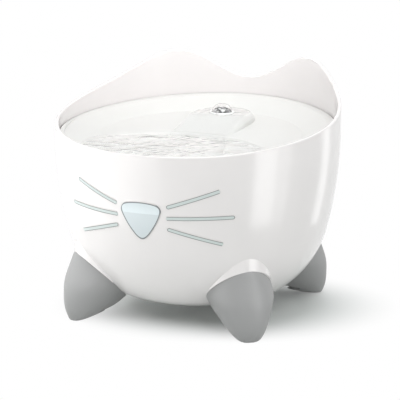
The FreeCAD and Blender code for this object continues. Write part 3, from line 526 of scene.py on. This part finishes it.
def ripples(x, y):
    """Height of the waves, from about -1 to 1: curled chop, liveliest before the ramp's left side."""
    curl_x = waves(x, y, 34, 30, 0.3) * CURL_REACH
    curl_y = waves(x, y, 30, 34, 5.3) * CURL_REACH
    chop = waves(x + curl_x, y + curl_y, 95, 80, 1.7)
    fine = waves(x - curl_y, y + curl_x, 210, 180, 4.1)
    lively = 0.5 + 0.75 * math.exp(-((x - LIVELY_X) / LIVELY_SPREAD) ** 2)
    return (1.1 * chop + 0.35 * fine) * lively


def ramp_top(y):
    """Height of the ramp's upper face."""
    fall = RAMP_SLOPE * (RAMP_BREAK - y)
    if fall > RAMP_BEND * RAMP_SLOPE:
        return RAMP_TOP - fall
    if fall < -RAMP_BEND * RAMP_SLOPE:
        return RAMP_TOP
    share = (fall / RAMP_SLOPE + RAMP_BEND) / (2 * RAMP_BEND)
    return RAMP_TOP - RAMP_SLOPE * RAMP_BEND * share * share


def edge_drop(reach):
    """How far the ramp's rounded edge falls at a distance from its middle line."""
    past = max(0.0, reach - RAMP_FLAT)
    return RAMP_EDGE - math.sqrt(RAMP_EDGE ** 2 - past ** 2)


class FOUNTAIN_OT_pool_water(bpy.types.Operator):
    """Add the rippled water in the drinking pool"""
    bl_idname = "fountain.pool_water"
    bl_label = "Pool Water"

    def execute(self, context):
        deselect()
        bpy.ops.mesh.primitive_circle_add(vertices=POOL_POINTS, radius=1.0, fill_type="NOTHING",
                                          location=(0, 0, 0))
        pool = context.object
        bpy.ops.object.mode_set(mode="EDIT")
        for ring in range(POOL_RINGS - 1):
            bpy.ops.mesh.extrude_edges_move()
            step = (POOL_RINGS - ring - 1) / (POOL_RINGS - ring)
            bpy.ops.transform.resize(value=(step, step, 1))
        bpy.ops.mesh.extrude_edges_move()
        bpy.ops.mesh.merge(type="CENTER")
        level, height = sizes().water_level, sizes().ripple_height

        def lay(point):
            share, angle = math.hypot(point.x, point.y), math.atan2(point.y, point.x)
            reach = share * shoreline(angle)
            x, y = reach * math.cos(angle), POOL_CENTRE + reach * math.sin(angle)
            calm = 1 - max(0.0, share - CALM_SHARE) / (1 - CALM_SHARE)
            return Vector((x, y, level + height * ripples(x, y) * calm))

        move_points(pool, lay)
        bpy.ops.mesh.select_all(action="SELECT")
        bpy.ops.mesh.normals_make_consistent(inside=False)
        bpy.ops.object.mode_set(mode="OBJECT")
        if sum(face.normal.z for face in pool.data.polygons) < 0:
            pool.data.flip_normals()
        thicken(pool, POOL_SKIN)
        settle(pool, "pool_water", "dish", water_material(), 60)
        return {"FINISHED"}


class FOUNTAIN_OT_flowing_water(bpy.types.Operator):
    """Add the water on the ramp and over the spout"""
    bl_idname = "fountain.flowing_water"
    bl_label = "Flowing Water"

    def execute(self, context):
        water = water_material()
        self.sheet(water)
        self.dome(water)
        self.froth()
        self.ring()
        return {"FINISHED"}

    def sheet(self, water):
        """The thin water that runs down the ramp, open where the spout comes through."""
        deselect()
        bpy.ops.mesh.primitive_grid_add(x_subdivisions=44, y_subdivisions=90, size=2, location=(0, 0, 0))
        sheet = bpy.context.object
        bpy.ops.object.mode_set(mode="EDIT")
        last, depth = SPOUT_Y + RAMP_HALF_WIDTH - SHEET_MARGIN, sizes().sheet_depth

        def lay(point):
            y = SHEET_START + (last - SHEET_START) * (point.y + 1) / 2
            beyond = max(0.0, y - SPOUT_Y)
            half = math.sqrt(max(RAMP_HALF_WIDTH ** 2 - beyond ** 2, 1e-8))
            x = point.x * half
            streak = waves(x, y, 210, 45, 2.2) * 0.4 + waves(x, y, 90, 120, 7.7) * 0.3
            lift = depth * (1 + streak) * (1 - abs(point.x) ** 8)
            return Vector((x, y, ramp_top(y) - edge_drop(math.hypot(x, beyond)) + lift))

        def over_spout(face):
            middle = face.calc_center_median()
            return math.hypot(middle.x, middle.y - SPOUT_Y) < SHEET_HOLE

        move_points(sheet, lay)
        select_faces(sheet, over_spout)
        bpy.ops.mesh.delete(type="FACE")
        bpy.ops.object.mode_set(mode="OBJECT")
        thicken(sheet, SHEET_SKIN)
        settle(sheet, "ramp_water", "dish", water, 60)

    def ball(self, height):
        """A ball over the spout, in edit mode."""
        deselect()
        bpy.ops.mesh.primitive_uv_sphere_add(segments=56, ring_count=28, radius=1.0,
                                             location=(0, SPOUT_Y, height))
        bpy.ops.object.mode_set(mode="EDIT")
        return bpy.context.object

    def dome(self, water):
        """The clear bell of water that stands on the lip, hollow and with a shallow underside."""
        dome = self.ball(LIP_TOP)
        wide, tall = sizes().dome_radius, sizes().dome_height

        def swell(point):
            wave = 1 + 0.05 * noise.noise(point * 2.3) * max(point.z, 0.0)
            rise = point.z * tall if point.z > 0 else point.z * DOME_DIP
            return Vector((point.x * wide * wave, point.y * wide * wave, rise * wave))

        move_points(dome, swell)
        bpy.ops.object.mode_set(mode="OBJECT")
        thicken(dome, DOME_SKIN)
        settle(dome, "spout_water", "pump", water, 60)

    def froth(self):
        """The lumpy froth that wells up from the riser into the dome, its dark hollows painted shade of the
        dark bore seen through the water.
        """
        froth = self.ball(FROTH_LEVEL)

        def lump(point):
            lively = max(0.0, min(1.0, 1 + 2 * point.z))
            swell = 1 + lively * (0.3 * noise.noise(point * 2.6) + 0.12 * noise.noise(point * 6.5))
            wide = swell * (FROTH_HALF_WIDTH if point.z > 0 else FROTH_STEM)
            if point.z < 0:
                return Vector((point.x * wide, point.y * wide, point.z * FROTH_DEPTH))
            return Vector((point.x * wide, point.y * wide, point.z * swell * FROTH_HALF_HEIGHT))

        move_points(froth, lump)
        # The dark hollows are painted shade of the bore seen through the dome
        settle(froth, "spout_froth", "pump", froth_and_painted_light("froth with painted shade", 0.12, 0.47), 40)

    def ring(self):
        """The white ring where the water runs off the lip: a painted highlight."""
        deselect()
        bpy.ops.mesh.primitive_torus_add(major_segments=72, minor_segments=16, major_radius=RING_RADIUS,
                                         minor_radius=RING_THICKNESS,
                                         location=(0, SPOUT_Y, LIP_TOP - RING_THICKNESS))
        ring = bpy.context.object
        bpy.ops.object.mode_set(mode="EDIT")
        move_points(ring, lambda point: point * (1 + 0.05 * noise.noise(point * 300)))
        # A white ring made as a painted highlight round the dome's base
        settle(ring, "spout_ring", "dish", froth_and_painted_light("painted highlight ring", 0.6, 0.3), 60)


class FOUNTAIN_OT_stage(bpy.types.Operator):
    """Add the floor, the studio lights and the camera"""
    bl_idname = "fountain.stage"
    bl_label = "Stage"

    def execute(self, context):
        deselect()
        bpy.ops.mesh.primitive_plane_add(size=FLOOR_SIZE, location=(0, 0, 0))
        floor = context.object
        floor.name = "floor"
        paint = Painter("pale floor", FLOOR_COLOUR, 0.6)
        floor.data.materials.append(paint.material)
        self.backdrop(paint)
        self.world(context)
        self.lamps()
        self.camera(context)
        return {"FINISHED"}

    def backdrop(self, paint):
        """The object's shadow stays on the floor and fades into plain white away from it."""
        bright = paint.node("ShaderNodeEmission", {}, (1, 1, 1, 1), 1.0)
        spot = paint.node("ShaderNodeMapping", {"vector_type": "TEXTURE"}, paint.place(),
                          Location=SHADE_CENTRE, Rotation=(0, 0, SHADE_TURN), Scale=SHADE_SIZE)
        reach = paint.vector("LENGTH", spot)
        fade = paint.node("ShaderNodeMapRange", {"interpolation_type": "SMOOTHSTEP"}, reach, *SHADE_FADE,
                          0.0, 1.0)
        mix = paint.node("ShaderNodeMixShader", {}, paint.seen_or_mirrored() * fade,
                         Value(paint, paint.shader.outputs[0]), bright)
        paint.tree.links.new(mix.socket, paint.tree.nodes["Material Output"].inputs["Surface"])

    def world(self, context):
        """Soft light all round, plain white where it is seen, mirrored or seen through glass."""
        world = bpy.data.worlds.new("studio")
        context.scene.world = world
        world.use_nodes = True
        tree = world.node_tree
        soft = tree.nodes["Background"]
        soft.inputs["Color"].default_value = WORLD_COLOUR
        soft.inputs["Strength"].default_value = WORLD_STRENGTH
        white = tree.nodes.new("ShaderNodeBackground")
        white.inputs["Color"].default_value = (1, 1, 1, 1)
        white.inputs["Strength"].default_value = 1.0
        path = tree.nodes.new("ShaderNodeLightPath")
        seen = path.outputs["Is Camera Ray"]
        for ray in ("Glossy", "Transmission"):
            either = tree.nodes.new("ShaderNodeMath")
            either.operation = "MAXIMUM"
            tree.links.new(seen, either.inputs[0])
            tree.links.new(path.outputs["Is %s Ray" % ray], either.inputs[1])
            seen = either.outputs[0]
        mix = tree.nodes.new("ShaderNodeMixShader")
        tree.links.new(seen, mix.inputs[0])
        tree.links.new(soft.outputs[0], mix.inputs[1])
        tree.links.new(white.outputs[0], mix.inputs[2])
        tree.links.new(mix.outputs[0], tree.nodes["World Output"].inputs["Surface"])

    def lamps(self):
        """Soft lamps high in front and above, glows unseen in the gloss, and strips seen in it alone."""
        for lamp in LAMPS:
            self.lamp(*lamp)
        crown = self.lamp(*CROWN_LIGHT)
        crown.data.spread = CROWN_SPREAD
        crown.visible_glossy = False
        for name, azimuth, power in GLOWS:
            place = self.beside(azimuth, GLOW_REACH, GLOW_HEIGHT)
            glow = self.lamp(name, place, (0, 0, GLOW_AIM), GLOW_WIDTH, GLOW_TALL, power)
            glow.data.spread = GLOW_SPREAD
            glow.visible_glossy = False
        for name, azimuth, width, brightness in STRIPS:
            place = self.beside(azimuth, STRIP_REACH, STRIP_HEIGHT / 2)
            power = brightness * math.pi * width * STRIP_HEIGHT
            strip = self.lamp(name, place, (0, 0, STRIP_HEIGHT / 2), width, STRIP_HEIGHT, power)
            strip.visible_diffuse = False

    def beside(self, azimuth, reach, height):
        """A place beside the object, at an azimuth in degrees from the face."""
        turn = math.radians(azimuth)
        return reach * math.sin(turn), -reach * math.cos(turn), height

    def lamp(self, name, place, aim, wide, tall, power):
        """Add a rectangular lamp that itself isn't seen."""
        light = bpy.data.lights.new(name, "AREA")
        light.shape = "RECTANGLE"
        light.size = wide
        light.size_y = tall
        light.energy = power
        lamp = bpy.data.objects.new(name, light)
        lamp.location = place
        lamp.rotation_euler = (Vector(aim) - Vector(place)).to_track_quat("-Z", "Y").to_euler()
        lamp.visible_camera = False
        lamp.visible_transmission = False
        bpy.context.collection.objects.link(lamp)
        return lamp

    def camera(self, context):
        """The camera that took the photograph, as fitted to it."""
        away = Vector((math.sin(VIEW_AZIMUTH) * math.cos(VIEW_ELEVATION),
                       -math.cos(VIEW_AZIMUTH) * math.cos(VIEW_ELEVATION), math.sin(VIEW_ELEVATION)))
        data = bpy.data.cameras.new("camera")
        data.sensor_width = SENSOR_WIDTH
        data.lens = SENSOR_WIDTH * FOCAL_PIXELS / PICTURE_PIXELS
        data.shift_x, data.shift_y = VIEW_SHIFT
        data.clip_start = 0.05
        camera = bpy.data.objects.new("camera", data)
        camera.location = Vector(VIEW_TARGET) + away * VIEW_DISTANCE
        camera.rotation_euler = (-away).to_track_quat("-Z", "Y").to_euler()
        context.collection.objects.link(camera)
        context.scene.camera = camera
        context.scene.view_settings.view_transform = "Standard"


class FOUNTAIN_PT_panel(bpy.types.Panel):
    """Lists the fountain's pieces, sizes and colours"""
    bl_idname = "FOUNTAIN_PT_panel"
    bl_label = "Pet Water Fountain"
    bl_space_type = "VIEW_3D"
    bl_region_type = "UI"
    bl_category = "Fountain"

    def draw(self, context):
        column = self.layout.column()
        for group in (sizes(), colours()):
            for name in group.__annotations__:
                column.prop(group, name)
        for operator in OPERATORS:
            column.operator(operator.bl_idname)


OPERATORS = (FOUNTAIN_OT_stage, FOUNTAIN_OT_shell, FOUNTAIN_OT_face, FOUNTAIN_OT_inside,
             FOUNTAIN_OT_pool_water, FOUNTAIN_OT_flowing_water)
GROUPS = (FountainSizes, FountainColours)


def register():
    for cls in GROUPS + OPERATORS + (FOUNTAIN_PT_panel,):
        bpy.utils.register_class(cls)
    bpy.types.Scene.fountain_sizes = PointerProperty(type=FountainSizes)
    bpy.types.Scene.fountain_colours = PointerProperty(type=FountainColours)


def unregister():
    del bpy.types.Scene.fountain_sizes
    del bpy.types.Scene.fountain_colours
    for cls in reversed(GROUPS + OPERATORS + (FOUNTAIN_PT_panel,)):
        bpy.utils.unregister_class(cls)


def main():
    register()
    bpy.ops.fountain.stage()
    bpy.ops.fountain.shell()
    bpy.ops.fountain.face()
    bpy.ops.fountain.inside()
    bpy.ops.fountain.pool_water()
    bpy.ops.fountain.flowing_water()


if __name__ == "__main__":
    main()
